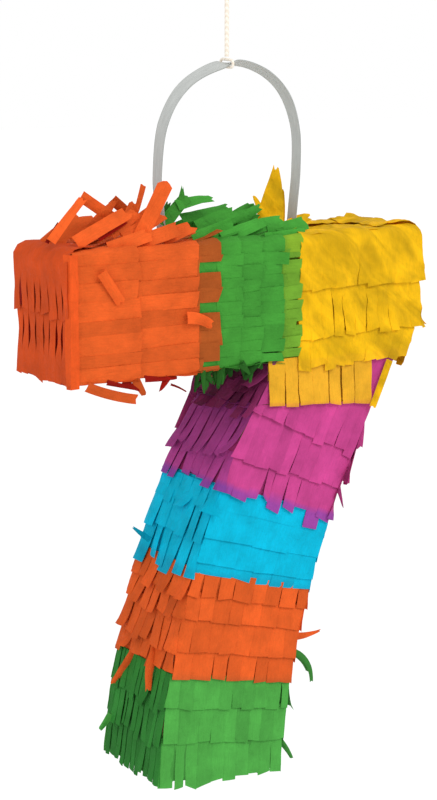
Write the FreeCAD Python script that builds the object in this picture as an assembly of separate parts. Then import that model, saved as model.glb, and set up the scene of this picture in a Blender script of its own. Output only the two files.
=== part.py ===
import FreeCAD, Part
import math
import os

# A hanging card body in the shape of a seven, wrapped in rows of paper fringe. It hangs from a
# plastic strap loop, and the strap from a taut string with a loop tied at its top.
#
# Millimetres, +Z up, +X along the bar to the right, front face towards -Y, middle of the depth at
# Y = 0. The origin is where the string's top loop bears on whatever it is hung from.

V = FreeCAD.Vector

# Card body, measured from the top left corner of the bar
BODY_LEFT = -139.4      # puts the centre of mass under the string
BODY_TOP = -200.0
BODY_WIDTH = 274.0
BODY_HEIGHT = 365.0
BODY_DEPTH = 69.0       # over both panels
PANEL = 2.5             # corrugated card of the panels
WALL = 2.0              # card strip between them
BAR_HEIGHT = 81.0
END_HEIGHT = 67.0       # straight right end of the bar
NECK = 160.0            # where the stem leaves the underside of the bar
FOOT_LEFT = 60.5
FOOT_RIGHT = 161.0
FOOT_DROP = 12.0        # how much lower the foot's right corner is than its left one
LEFT_BOW = 20.0         # how far each edge of the stem bows to the left of its chord
RIGHT_BOW = 22.0

# Gummed paper tape inside the seams
TAPE = 0.3
TAPE_LEG = 12.0

# Paper fringe: each row is a sleeve round the card
PAPER = 2.5
COLUMNS = [0.0, 44.0, 88.5, 107.5, 123.0, 139.5, 157.5, 174.0]
ORANGE_COLUMNS = 3
END_SPLIT = 38.0        # between the two rows on the left end
YELLOW_DEPTHS = [-PAPER, 33.0, 66.0, BAR_HEIGHT + PAPER]
COLLAR_START = 150.0    # left edge of the yellow collar on the front and the back
COLLAR_LEFT = 111.0     # its lower edge at the stem's two sides
COLLAR_RIGHT = 119.0
STEM_ROWS = [           # colour and depth of each row's lower edge on the middle of the stem
    ("magenta", [132.0, 159.0, 180.0]),
    ("blue", [196.0, 212.0, 233.0]),
    ("orange_stem", [247.0, 262.0, 283.0, 301.0]),
    ("green_foot", [320.0, 344.0, BODY_HEIGHT]),
]
TOP_TILT = 22.0         # slope of the uppermost stem row, in degrees
FOOT_TILT = 12.0        # slope of the lowest sloping one

# Filling flap in the back panel
FLAP_LEFT = 109.0
FLAP_RIGHT = 157.0
FLAP_TOP = 15.5
FLAP_BOTTOM = 65.5
FLAP_GAP = 0.5
FLAP_PAPER_GAP = 3.0    # paper kept clear of the fold, so that the flap turns a right angle

# Strap loop
STRAP_WIDTH = 10.0
STRAP_THICK = 0.7
STRAP_RISE = 116.0      # middle of the strap at its top, above the card
STRAP_FEET = [-51.4, 53.6]
STRAP_BELOW = 3.6       # how far its ends reach below the top of the card
STRAP_POINTS = [        # along the arch: across from the string, up from the card
    (-55.0, 44.0), (-50.0, 78.0), (-32.0, 103.0), (0.0, STRAP_RISE),
    (27.0, 111.5), (47.0, 96.0), (57.0, 72.0), (58.0, 44.0),
]
SLOT_LENGTH = 15.0
SLOT_WIDTH = 3.0
TAB_LENGTH = 22.0
TAB_GAP = 0.8
STAPLE_WIRE = 0.6
STAPLE_CROWN = 6.0
STAPLE_INSETS = [7.0, 15.0]

# String
STRING = 3.0
LOOP_RADIUS = 9.0       # middle of the cord
LEG_SPACING = 3.6
KNOT_Z = -26.0
KNOT_RADIUS = 4.2
JOINT_GAP = 0.35
NOOSE_GAP = 0.6         # between the cord and the strap inside it

HALF_DEPTH = BODY_DEPTH / 2
INNER_HALF = HALF_DEPTH - PANEL
STRAP_TOP = BODY_TOP + STRAP_RISE
FAR = 600.0


def at(across, down):
    """A point of the front view, from the top left corner of the card."""
    return V(BODY_LEFT + across, 0, BODY_TOP - down)


def bowed(start, end, bow):
    """An arc from start to end whose middle lies bow to the left of the chord."""
    along = end - start
    left = V(along.z, 0, -along.x) * (1 if along.z < 0 else -1)
    middle = (start + end) / 2 + left.normalize() * bow
    return Part.Arc(start, middle, end).toShape()


def foot_depth(across):
    """How far down the slanting line of the foot is."""
    return BODY_HEIGHT + FOOT_DROP * (across - FOOT_LEFT) / (FOOT_RIGHT - FOOT_LEFT)


def foot_line(raised=0.0):
    """The (across, down) ends of a line right past the foot, left end first."""
    return [(across, foot_depth(across) - raised) for across in (-1.0, BODY_WIDTH + 1)]


def seven():
    """The face of the seven in the plane Y = 0."""
    corners = [
        at(FOOT_LEFT, BODY_HEIGHT), at(NECK, BAR_HEIGHT), at(0, BAR_HEIGHT), at(0, 0),
        at(BODY_WIDTH, 0), at(BODY_WIDTH, END_HEIGHT), at(FOOT_RIGHT, foot_depth(FOOT_RIGHT)),
    ]
    edges = [bowed(corners[0], corners[1], LEFT_BOW)]
    edges += [Part.makeLine(a, b) for a, b in zip(corners[1:5], corners[2:6])]
    edges += [bowed(corners[5], corners[6], RIGHT_BOW), Part.makeLine(corners[6], corners[0])]
    return Part.Face(Part.Wire(edges))


def grown(face, by):
    """The same face, larger or smaller all round, with sharp corners."""
    return face.makeOffset2D(by, 2)


def prism(face, low, high):
    """A flat shape of the front view, given depth from Y = low to Y = high."""
    moved = face.copy()
    moved.translate(V(0, low, 0))
    return moved.extrude(V(0, high - low, 0))


def zone(points, low=-FAR, high=FAR):
    """A prism over a polygon of (across, down) points."""
    corners = [at(*p) for p in points]
    return prism(Part.Face(Part.makePolygon(corners + corners[:1])), low, high)


def block(left, right, top, bottom, low=-FAR, high=FAR):
    return zone([(left, top), (right, top), (right, bottom), (left, bottom)], low, high)


def box(x0, x1, y0, y1, z0, z1):
    return Part.makeBox(x1 - x0, y1 - y0, z1 - z0, V(x0, y0, z0))


def save(shape, node):
    solids = shape.Solids
    whole = solids[0] if len(solids) == 1 else Part.makeCompound(solids)
    assert solids and whole.isValid(), node
    whole.exportStep(f"parts/{node}.step")


# ---- card ------------------------------------------------------------------------------------

def flap_block(gap=0.0, low=-FAR, high=FAR):
    return block(FLAP_LEFT - gap, FLAP_RIGHT + gap, FLAP_TOP - gap, FLAP_BOTTOM + gap, low, high)


def panels():
    face = seven()
    back = prism(face, INNER_HALF, HALF_DEPTH).cut(flap_block(FLAP_GAP))
    save(prism(face, -HALF_DEPTH, -INNER_HALF), "front_panel")
    save(back, "back_panel")
    save(flap_block(0.0, INNER_HALF, HALF_DEPTH), "fill_flap")


def walls():
    """The strip round the edge, in its separate lengths. The top one has a slot for each foot."""
    face = seven()
    strip = prism(face, -INNER_HALF, INNER_HALF).cut(prism(grown(face, -WALL), -FAR, FAR))
    right = BODY_WIDTH + 1
    foot_middle = (FOOT_LEFT + FOOT_RIGHT) / 2
    between = [(NECK + 10, END_HEIGHT), (foot_middle, foot_depth(foot_middle) - WALL)]
    foot_start, foot_end = foot_line(WALL)
    lengths = {
        "top_wall": block(-1, right, -1, WALL),
        "arm_end_wall": block(-1, WALL, WALL, BAR_HEIGHT + 1),
        "arm_under_wall": block(WALL, NECK, BAR_HEIGHT - WALL, BAR_HEIGHT),
        "right_end_wall": block(BODY_WIDTH - WALL, right, WALL, END_HEIGHT),
        "foot_wall": zone(foot_line(WALL) + foot_line(-1)[::-1]),
        "stem_left_wall": zone([(0, BAR_HEIGHT), (NECK, BAR_HEIGHT), (NECK, END_HEIGHT)] + between
                               + [foot_start]),
        "stem_right_wall": zone([(right, END_HEIGHT)] + between + [foot_end]),
    }
    cuts = Part.makeCompound(slots() + staples())
    for node, region in lengths.items():
        piece = strip.common(region)
        save(piece.cut(cuts) if node == "top_wall" else piece, node)


def seam_tape(side):
    """An L of paper tape round the inside seam of one panel. side is -1 at the front, 1 behind."""
    face = seven()
    inner = grown(face, -WALL)
    on_panel = [side * (INNER_HALF - TAPE), side * INNER_HALF]
    on_wall = [side * (INNER_HALF - TAPE_LEG), side * INNER_HALF]
    flat = prism(inner, *on_panel).cut(prism(grown(face, -WALL - TAPE_LEG), -FAR, FAR))
    upright = prism(inner, *on_wall).cut(prism(grown(face, -WALL - TAPE), -FAR, FAR))
    return flat.fuse(upright).removeSplitter()


# ---- paper fringe ----------------------------------------------------------------------------

def paper_skin():
    face = seven()
    outer = prism(grown(face, PAPER), -HALF_DEPTH - PAPER, HALF_DEPTH + PAPER)
    skin = outer.cut(prism(face, -HALF_DEPTH, HALF_DEPTH))
    return skin.cut(zone(foot_line() + foot_line(-9)[::-1]))


def stem_middle(down):
    """How far across the middle of the stem is at this depth."""
    start, end = (NECK + BODY_WIDTH) / 2, (FOOT_LEFT + FOOT_RIGHT) / 2
    top = (BAR_HEIGHT + END_HEIGHT) / 2
    part = (down - top) / (BODY_HEIGHT - top)
    return start + (end - start) * part - 4 * LEFT_BOW * part * (1 - part)


def stem_line(down):
    """The (across, down) ends of a row's lower edge, square to the stem, left end first."""
    first, last = STEM_ROWS[0][1][0], STEM_ROWS[-1][1][-2]
    tilt = TOP_TILT + (FOOT_TILT - TOP_TILT) * (down - first) / (last - first)
    middle, reach = stem_middle(down), 90.0
    rise = reach * math.tan(math.radians(tilt))
    return [(middle - reach, down - rise), (middle + reach, down + rise)]


def row_zones():
    """Every row's node name and the part of the front view that it covers."""
    rows, right, under = {}, BODY_WIDTH + 2 * PAPER, BAR_HEIGHT + PAPER
    for n, (a, b) in enumerate(zip(COLUMNS, COLUMNS[1:])):
        colour = "orange" if n < ORANGE_COLUMNS else "green"
        count = n + 1 if n < ORANGE_COLUMNS else n + 1 - ORANGE_COLUMNS
        rows[f"{colour}_arm_row_{count}"] = block(a, b, -PAPER, under)
    rows["orange_end_row_1"] = block(-PAPER, 0, -PAPER, END_SPLIT)
    rows["orange_end_row_2"] = block(-PAPER, 0, END_SPLIT, under)
    for n, (a, b) in enumerate(zip(YELLOW_DEPTHS, YELLOW_DEPTHS[1:]), 1):
        rows[f"yellow_corner_row_{n}"] = block(COLUMNS[-1], right, a, b)
    # the collar leaves the left wall of the stem to the first magenta row
    left_wall = block(-FAR, NECK + 20.0, under, FAR, -HALF_DEPTH, HALF_DEPTH)
    collar = zone([(COLLAR_START, under), (right, under), (right, COLLAR_RIGHT),
                   (COLLAR_START, COLLAR_LEFT)]).cut(left_wall)
    rows["yellow_collar_row"] = collar
    above = [(NECK - 60.0, under), (right, under)]
    for colour, depths in STEM_ROWS:
        for n, down in enumerate(depths, 1):
            below = foot_line() if down == BODY_HEIGHT else stem_line(down)
            rows[f"{colour}_row_{n}"] = zone(above + below[::-1]).cut(collar)
            above = below
    return rows


def fringe_rows():
    skin = paper_skin()
    flap_hole = block(FLAP_LEFT - FLAP_PAPER_GAP, FLAP_RIGHT + FLAP_GAP, FLAP_TOP - FLAP_GAP,
                      FLAP_BOTTOM + FLAP_GAP, HALF_DEPTH)
    openings = Part.makeCompound(slots() + [flap_hole])
    for node, region in row_zones().items():
        save(skin.common(region).cut(openings), node)


def flap_fringe():
    """The rows on the flap continue the columns on either side of it."""
    edges = [FLAP_LEFT + FLAP_GAP, *COLUMNS[4:6], FLAP_RIGHT]
    for n, (a, b) in enumerate(zip(edges, edges[1:]), 1):
        piece = block(a, b, FLAP_TOP, FLAP_BOTTOM, HALF_DEPTH, HALF_DEPTH + PAPER)
        save(piece, f"flap_fringe_row_{n}")


# ---- strap -----------------------------------------------------------------------------------

def slots():
    """One slot for each foot of the strap, through the paper and the top wall."""
    half = SLOT_LENGTH / 2
    return [
        box(x - SLOT_WIDTH / 2, x + SLOT_WIDTH / 2, -half, half,
            BODY_TOP - WALL - 1, BODY_TOP + PAPER + 1)
        for x in STRAP_FEET
    ]


def strap():
    half_w, half_t = STRAP_WIDTH / 2, STRAP_THICK / 2
    left, right = [V(x, 0, BODY_TOP) for x in STRAP_FEET]
    curve = Part.BSplineCurve()
    through = [left] + [V(x, 0, BODY_TOP + up) for x, up in STRAP_POINTS] + [right]
    curve.interpolate(Points=through, InitialTangent=V(0, 0, 1), FinalTangent=V(0, 0, -1))
    down = V(0, 0, -STRAP_BELOW)
    path = Part.Wire([Part.makeLine(left + down, left), curve.toShape(),
                      Part.makeLine(right, right + down)])
    ring = [V(x, y, 0) + left + down for x, y in
            ((-half_t, -half_w), (half_t, -half_w), (half_t, half_w), (-half_t, half_w))]
    band = path.makePipeShell([Part.makePolygon(ring + ring[:1])], True, False)
    print(f"strap: {band.Volume:.1f} mm3, {path.Length * STRAP_WIDTH * STRAP_THICK:.1f} expected")
    save(band, "hanging_strap")


def tab_sides():
    """The foot of the strap and the way that its folded end points, for both ends."""
    return zip(STRAP_FEET, (-1, 1))


def strap_tabs():
    """The ends of the strap, folded flat under the top wall."""
    tabs = []
    for x, way in tab_sides():
        near = x + way * (STRAP_THICK / 2 + TAB_GAP)
        a, b = sorted((near, near + way * TAB_LENGTH))
        tabs.append(box(a, b, -STRAP_WIDTH / 2, STRAP_WIDTH / 2,
                        BODY_TOP - WALL - STRAP_THICK, BODY_TOP - WALL))
    return tabs


def staples():
    """Staples through the folded ends, pushed up into the top wall."""
    made, half = [], STAPLE_WIRE / 2
    under = BODY_TOP - WALL - STRAP_THICK
    for x, way in tab_sides():
        for inset in STAPLE_INSETS:
            mid = x + way * inset
            leg = STAPLE_CROWN / 2
            crown = box(mid - half, mid + half, -leg, leg, under - STAPLE_WIRE, under)
            legs = [box(mid - half, mid + half, a, a + STAPLE_WIRE, under, BODY_TOP - half)
                    for a in (-leg, leg - STAPLE_WIRE)]
            made.append(crown.multiFuse(legs).removeSplitter())
    return made


def strap_fixings():
    wires = staples()
    held = Part.makeCompound(strap_tabs()).cut(Part.makeCompound(wires))
    save(held, "strap_end_tabs")
    save(Part.makeCompound(wires), "strap_staples")


# ---- string ----------------------------------------------------------------------------------

def cord(path, start, heading):
    """A round cord along a path."""
    ring = Part.Wire(Part.makeCircle(STRING / 2, start, heading))
    return path.makePipeShell([ring], True, False)


def knot_ball(radius):
    return Part.makeSphere(radius, V(0, 0, KNOT_Z))


def string_loop():
    """Two legs up from the knot and an arc over the top, all in the plane Y = 0."""
    centre = V(0, 0, STRING / 2 - LOOP_RADIUS)
    foot = V(LEG_SPACING / 2, 0, KNOT_Z + KNOT_RADIUS / 2)
    to_foot = foot - centre
    span = to_foot.Length
    spread = math.atan2(to_foot.x, -to_foot.z) + math.acos(LOOP_RADIUS / span)
    touch = centre + V(math.sin(spread), 0, -math.cos(spread)) * LOOP_RADIUS
    mirror = [V(-p.x, 0, p.z) for p in (touch, foot)]
    path = Part.Wire([
        Part.makeLine(foot, touch),
        Part.Arc(touch, V(0, 0, STRING / 2), mirror[0]).toShape(),
        Part.makeLine(*mirror),
    ])
    return cord(path, foot, touch - foot).cut(knot_ball(KNOT_RADIUS + JOINT_GAP))


def noose():
    """The string's snug turn round the strap, in the plane X = 0."""
    rise = STRAP_THICK / 2 + NOOSE_GAP + STRING / 2
    run = STRAP_WIDTH / 2 + NOOSE_GAP + STRING / 2 - rise
    corners = [V(0, y, STRAP_TOP + z) for y, z in
               ((-run, rise), (run, rise), (run, -rise), (-run, -rise))]
    ends = [V(0, way * (run + rise), STRAP_TOP) for way in (1, -1)]
    path = Part.Wire([
        Part.makeLine(corners[0], corners[1]),
        Part.Arc(corners[1], ends[0], corners[2]).toShape(),
        Part.makeLine(corners[2], corners[3]),
        Part.Arc(corners[3], ends[1], corners[0]).toShape(),
    ])
    return cord(path, corners[0], V(0, 1, 0)), STRAP_TOP + rise + STRING / 2


def string():
    turn, turn_top = noose()
    bottom = turn_top + JOINT_GAP
    straight = Part.makeCylinder(STRING / 2, KNOT_Z - bottom, V(0, 0, bottom))
    save(turn, "string_noose")
    save(straight.cut(knot_ball(KNOT_RADIUS + JOINT_GAP)), "hanging_string")
    save(knot_ball(KNOT_RADIUS), "string_knot")
    save(string_loop(), "string_loop")


def main():
    os.makedirs("parts", exist_ok=True)
    panels()
    walls()
    save(seam_tape(-1), "front_seam_tape")
    save(seam_tape(1), "back_seam_tape")
    fringe_rows()
    flap_fringe()
    strap()
    strap_fixings()
    string()


main()
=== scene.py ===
import math
import random

import bmesh
import bpy
from mathutils import Matrix, Vector, noise


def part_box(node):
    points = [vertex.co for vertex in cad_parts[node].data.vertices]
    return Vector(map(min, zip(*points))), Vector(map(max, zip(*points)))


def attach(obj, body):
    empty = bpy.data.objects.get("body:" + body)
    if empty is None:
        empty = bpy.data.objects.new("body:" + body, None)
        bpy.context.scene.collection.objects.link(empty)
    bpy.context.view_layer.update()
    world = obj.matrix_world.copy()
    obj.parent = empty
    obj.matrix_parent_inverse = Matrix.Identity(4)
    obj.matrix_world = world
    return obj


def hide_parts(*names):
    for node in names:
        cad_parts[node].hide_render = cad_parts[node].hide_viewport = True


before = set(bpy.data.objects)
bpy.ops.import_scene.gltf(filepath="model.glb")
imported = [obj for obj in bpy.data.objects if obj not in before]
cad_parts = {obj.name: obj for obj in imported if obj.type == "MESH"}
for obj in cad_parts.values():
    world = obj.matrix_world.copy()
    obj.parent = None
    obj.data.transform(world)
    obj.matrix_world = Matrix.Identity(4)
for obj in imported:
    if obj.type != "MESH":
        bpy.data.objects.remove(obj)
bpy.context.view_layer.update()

# Looks for the hanging number seven: rows of cut crepe paper over its card body, the ribbed
# plastic strap and the twisted string. Lengths here are millimetres in the row frame and become
# metres when a mesh is made.

MM = 0.001
SCENE = bpy.context.scene


def cad_box(*nodes):
    """Lowest and highest corners of some CAD nodes together, in millimetres."""
    boxes = [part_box(n) for n in nodes]
    low = [min(b[0][k] for b in boxes) / MM for k in range(3)]
    high = [max(b[1][k] for b in boxes) / MM for k in range(3)]
    return Vector(low), Vector(high)


# ---- camera ----------------------------------------------------------------------------------

def add_camera():
    data = bpy.data.cameras.new("camera")
    data.lens = 74.2
    data.sensor_width = 36.0
    camera = bpy.data.objects.new("camera", data)
    SCENE.collection.objects.link(camera)
    camera.location = Vector((-627.2, -929.1, -75.1)) * MM
    aim = Vector((0.5433, 0.8134, -0.2079))
    camera.rotation_euler = aim.to_track_quat("-Z", "Y").to_euler()
    SCENE.camera = camera


add_camera()


# ---- shader helpers --------------------------------------------------------------------------

def linear(red, green, blue):
    """An sRGB colour, 0 to 255, as the linear colour that shaders use."""
    def one(c):
        c /= 255
        return c / 12.92 if c <= 0.04045 else ((c + 0.055) / 1.055) ** 2.4
    return (one(red), one(green), one(blue), 1.0)


class Shader:
    """A material's node tree, with short ways to add and join nodes."""

    def __init__(self, name):
        self.material = bpy.data.materials.new(name)
        self.material.use_nodes = True
        self.tree = self.material.node_tree
        self.surface = self.tree.nodes["Principled BSDF"]
        self.output = self.tree.nodes["Material Output"]

    def node(self, kind, **settings):
        made = self.tree.nodes.new(kind)
        for key, value in settings.items():
            setattr(made, key, value)
        return made

    def join(self, source, target):
        self.tree.links.new(source, target)

    def coordinates(self, scale, source="Object", turn=0.0):
        """Texture coordinates, turned about Y and then scaled."""
        place = self.node("ShaderNodeTexCoord").outputs[source]
        for key, value in (("Rotation", (0.0, math.radians(turn), 0.0)), ("Scale", scale)):
            mapping = self.node("ShaderNodeMapping")
            mapping.inputs[key].default_value = value
            self.join(place, mapping.inputs["Vector"])
            place = mapping.outputs["Vector"]
        return place

    def noise(self, vector, scale, detail=3.0, roughness=0.5, distortion=0.0):
        made = self.node("ShaderNodeTexNoise")
        made.inputs["Scale"].default_value = scale
        made.inputs["Detail"].default_value = detail
        made.inputs["Roughness"].default_value = roughness
        made.inputs["Distortion"].default_value = distortion
        self.join(vector, made.inputs["Vector"])
        return made.outputs["Fac"]

    def ranged(self, value, low, high, from_low=0.0, from_high=1.0):
        made = self.node("ShaderNodeMapRange")
        made.inputs["From Min"].default_value = from_low
        made.inputs["From Max"].default_value = from_high
        made.inputs["To Min"].default_value = low
        made.inputs["To Max"].default_value = high
        self.join(value, made.inputs["Value"])
        return made.outputs["Result"]

    def times(self, colour, value):
        made = self.node("ShaderNodeVectorMath", operation="SCALE")
        self.join(colour, made.inputs[0])
        self.join(value, made.inputs["Scale"])
        return made.outputs["Vector"]

    def mixed(self, amount, first, second):
        """A mix of two colours, each a plain colour or an output."""
        made = self.node("ShaderNodeMix", data_type="RGBA")
        self.join(amount, made.inputs["Factor"])
        for key, colour in ((6, first), (7, second)):
            if isinstance(colour, tuple):
                made.inputs[key].default_value = colour
            else:
                self.join(colour, made.inputs[key])
        return made.outputs[2]

    def bump(self, height, strength, distance, under=None):
        made = self.node("ShaderNodeBump")
        made.inputs["Strength"].default_value = strength
        made.inputs["Distance"].default_value = distance * MM
        self.join(height, made.inputs["Height"])
        if under is not None:
            self.join(under, made.inputs["Normal"])
        return made.outputs["Normal"]


# ---- materials -------------------------------------------------------------------------------

ORANGE = linear(230, 98, 38)
GREEN = linear(72, 160, 58)
FOOT_GREEN = linear(80, 168, 72)
YELLOW = linear(244, 192, 18)
MAGENTA = linear(205, 72, 145)
BLUE = linear(0, 192, 226)


def paper(name, colour, below, crumpled=0.0):
    """Crepe tissue. A strip's own tone, which on shaded sides is painted shade, and how much of the
    colour below shows through it, are painted on its mesh. Crumpled paper gets painted shade in
    its creases."""
    s = Shader(name)
    painted = s.node("ShaderNodeAttribute", attribute_name="strip").outputs["Color"]
    parts = s.node("ShaderNodeSeparateColor")
    s.join(painted, parts.inputs["Color"])
    tone, through = parts.outputs["Red"], parts.outputs["Green"]

    strip = s.coordinates((1.0, 1.0, 1.0), "UV")
    crepe = s.coordinates((1.0, 0.11, 1.0), "UV")
    wrinkles = s.noise(crepe, 1.1, 4.0, 0.6, 0.4)
    fibres = s.noise(strip, 2.6, 5.0, 0.7)
    creases = s.noise(strip, 0.13, 3.0, 0.55, 0.8)
    if crumpled:
        # folds that run down to the right on the front
        creases = s.noise(s.coordinates((75.0, 60.0, 22.0), turn=45.0), 1.0, 3.0, 0.5, 0.7)
    blotches = s.noise(s.coordinates((1.0, 1.0, 1.0)), 55.0, 3.0, 0.6)

    mixed = s.mixed(through, colour, below)
    shaded = s.times(mixed, s.ranged(tone, 0.05, 1.25, -0.5, 1.0))
    # painted shade: crumpled paper is darker down in its creases
    if crumpled:
        shaded = s.times(shaded, s.ranged(creases, 1 - 0.28 * crumpled, 1.08, 0.34, 0.6))
    shaded = s.times(shaded, s.ranged(blotches, 0.86, 1.12, 0.3, 0.7))
    shaded = s.times(shaded, s.ranged(wrinkles, 0.93, 1.06, 0.3, 0.7))
    s.join(shaded, s.surface.inputs["Base Color"])
    s.join(s.ranged(fibres, 0.58, 0.82), s.surface.inputs["Roughness"])
    s.surface.inputs["Specular IOR Level"].default_value = 0.1
    normal = s.bump(creases, 0.7, 1.8 + 1.6 * crumpled)
    normal = s.bump(wrinkles, 0.55, 0.35, normal)
    normal = s.bump(fibres, 0.25, 0.12, normal)
    s.join(normal, s.surface.inputs["Normal"])

    glow = s.node("ShaderNodeBsdfTranslucent")
    s.join(shaded, glow.inputs["Color"])
    s.join(normal, glow.inputs["Normal"])
    both = s.node("ShaderNodeMixShader")
    both.inputs[0].default_value = 0.22
    s.join(s.surface.outputs[0], both.inputs[1])
    s.join(glow.outputs[0], both.inputs[2])
    s.join(both.outputs[0], s.output.inputs["Surface"])
    return s.material


def card_material():
    s = Shader("kraft_card")
    here = s.coordinates((1.0, 1.0, 1.0))
    flutes = s.noise(s.coordinates((1.0, 1.0, 14.0)), 60.0, 2.0)
    fibres = s.noise(here, 900.0, 4.0, 0.7)
    stains = s.noise(here, 35.0, 3.0)
    colour = s.mixed(fibres, linear(150, 112, 74), linear(190, 152, 108))
    colour = s.times(colour, s.ranged(stains, 0.85, 1.1, 0.3, 0.7))
    s.join(colour, s.surface.inputs["Base Color"])
    s.join(s.ranged(fibres, 0.75, 0.95), s.surface.inputs["Roughness"])
    normal = s.bump(flutes, 0.3, 0.3)
    s.join(s.bump(fibres, 0.3, 0.08, normal), s.surface.inputs["Normal"])
    return s.material


def tape_material():
    s = Shader("gummed_tape")
    here = s.coordinates((1.0, 1.0, 1.0))
    grain = s.noise(s.coordinates((1.0, 1.0, 6.0)), 500.0, 4.0, 0.65)
    colour = s.mixed(grain, linear(176, 138, 92), linear(206, 170, 122))
    colour = s.times(colour, s.ranged(s.noise(here, 70.0), 0.9, 1.08, 0.3, 0.7))
    s.join(colour, s.surface.inputs["Base Color"])
    s.join(s.ranged(grain, 0.4, 0.6), s.surface.inputs["Roughness"])
    s.join(s.bump(grain, 0.25, 0.08), s.surface.inputs["Normal"])
    return s.material


def strap_material():
    """Cloudy polypropylene with fine ribs along its length."""
    s = Shader("strap_plastic")
    across = s.coordinates((1.0, 0.0, 0.0), "UV")
    wave = s.node("ShaderNodeTexWave", wave_type="BANDS", bands_direction="X")
    wave.inputs["Scale"].default_value = 0.5
    s.join(across, wave.inputs["Vector"])
    ribs = wave.outputs["Fac"]
    cloud = s.noise(s.coordinates((1.0, 0.06, 1.0), "UV"), 1.4, 4.0, 0.6)
    # painted shade: the ribs are darker between them and lighter on their tops
    colour = s.mixed(ribs, linear(158, 161, 158), linear(196, 199, 196))
    colour = s.times(colour, s.ranged(cloud, 0.86, 1.1, 0.3, 0.7))
    s.join(colour, s.surface.inputs["Base Color"])
    s.join(s.ranged(cloud, 0.22, 0.42), s.surface.inputs["Roughness"])
    normal = s.bump(ribs, 0.25, 0.25)
    s.join(s.bump(cloud, 0.3, 0.1, normal), s.surface.inputs["Normal"])
    return s.material


def wire_material():
    s = Shader("staple_wire")
    scratches = s.noise(s.coordinates((1.0, 8.0, 1.0)), 800.0, 3.0)
    s.join(s.mixed(scratches, linear(150, 152, 156), linear(196, 198, 202)),
           s.surface.inputs["Base Color"])
    s.surface.inputs["Metallic"].default_value = 1.0
    s.join(s.ranged(scratches, 0.25, 0.45), s.surface.inputs["Roughness"])
    return s.material


def string_material():
    """Twisted cotton twine: slanting plies, fuzz and a little colour change."""
    s = Shader("string")
    place = s.node("ShaderNodeTexCoord").outputs["Object"]
    fuzz = s.noise(place, 1800.0, 4.0, 0.7)
    wave = s.node("ShaderNodeTexWave", wave_type="BANDS", bands_direction="DIAGONAL")
    wave.inputs["Scale"].default_value = 170.0
    wave.inputs["Distortion"].default_value = 1.5
    s.join(place, wave.inputs["Vector"])
    # painted shade: the plies are darker in the grooves between them
    colour = s.mixed(wave.outputs["Fac"], linear(232, 220, 203), linear(246, 239, 227))
    colour = s.times(colour, s.ranged(fuzz, 0.88, 1.08, 0.3, 0.7))
    s.join(colour, s.surface.inputs["Base Color"])
    s.surface.inputs["Roughness"].default_value = 0.9
    normal = s.bump(wave.outputs["Fac"], 0.4, 0.2)
    s.join(s.bump(fuzz, 0.5, 0.12, normal), s.surface.inputs["Normal"])
    return s.material


# ---- string ----------------------------------------------------------------------------------

STRING = cad_box("hanging_string")
STRING_RADIUS = 1.5
NOOSE_ROLL = math.radians(4.0)
KNOT_REACH, KNOT_HEIGHT, KNOT_TURNS = 2.6, 4.4, 2.5
TWINE = string_material()


def curve_piece(name, points, radius, closed=False, order=3):
    """A round tube along one NURBS spline."""
    curve = bpy.data.curves.new(name, "CURVE")
    curve.dimensions = "3D"
    curve.bevel_depth = radius * MM
    curve.bevel_resolution = 5
    curve.resolution_u = 8
    curve.use_fill_caps = not closed
    spline = curve.splines.new("NURBS")
    spline.points.add(len(points) - 1)
    for slot, point in zip(spline.points, points):
        slot.co = (*(Vector(point) * MM), 1.0)
    spline.order_u = order
    spline.use_endpoint_u = not closed
    spline.use_cyclic_u = closed
    made = bpy.data.objects.new(name, curve)
    SCENE.collection.objects.link(made)
    made.data.materials.append(TWINE)
    return made


def add_string():
    bottom, top = STRING[0].z, STRING[1].z
    middle = (bottom + top) / 2
    line = [(0, 0, bottom), (0, 0, middle), (0, 0, top)]
    string = curve_piece("taut_string", line, STRING_RADIUS)
    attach(string, "string")
    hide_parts("hanging_string")

    knot_low, knot_high = cad_box("string_knot")
    centre = (knot_low + knot_high) / 2
    turns, steps = [], 14
    for k in range(steps + 1):
        angle = k / steps * math.tau * KNOT_TURNS
        rise = (k / steps - 0.5) * KNOT_HEIGHT
        reach = KNOT_REACH * math.sqrt(max(0.0, 1 - (rise / KNOT_HEIGHT) ** 2))
        turns.append(centre + Vector((math.cos(angle) * reach, math.sin(angle) * reach,
                                      rise + math.sin(angle * 1.5) * 0.5)))
    knot = curve_piece("top_knot", turns, STRING_RADIUS * 0.92)
    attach(knot, "top_knot")
    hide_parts("string_knot")

    low, high = cad_box("string_loop")
    reach = (high.x - low.x) / 2 - STRING_RADIUS
    crown = high.z - STRING_RADIUS
    start = centre.z + 3.0
    side = [(1.6, 0, start), (3.4, 0, start + 5), (reach * 0.98, 0, crown - reach * 1.25),
            (reach * 1.02, 0, crown - reach * 0.45), (reach * 0.66, 0, crown + 0.2)]
    loop = side + [(-x, y, z) for x, y, z in reversed(side)]
    loop = curve_piece("top_loop", loop, STRING_RADIUS)
    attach(loop, "top_loop")
    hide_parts("string_loop")

    low, high = cad_box("string_noose")
    middle = (low + high) / 2
    wide, tall = (high.y - low.y) / 2 - STRING_RADIUS, (high.z - low.z) / 2 - STRING_RADIUS
    turn = []
    for y, z in ((0, 1), (0.75, 1), (1.04, 0.6), (1.04, -0.6), (0.75, -1), (0, -1),
                 (-0.75, -1), (-1.04, -0.6), (-1.04, 0.6), (-0.75, 1)):
        p = Vector((0, y * wide, z * tall))
        turn.append(middle + Matrix.Rotation(NOOSE_ROLL, 3, "X") @ p)
    noose = curve_piece("strap_noose", turn, STRING_RADIUS * 0.62, closed=True)
    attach(noose, "noose")
    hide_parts("string_noose")


add_string()


# ---- meshes of thin sheet --------------------------------------------------------------------

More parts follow.
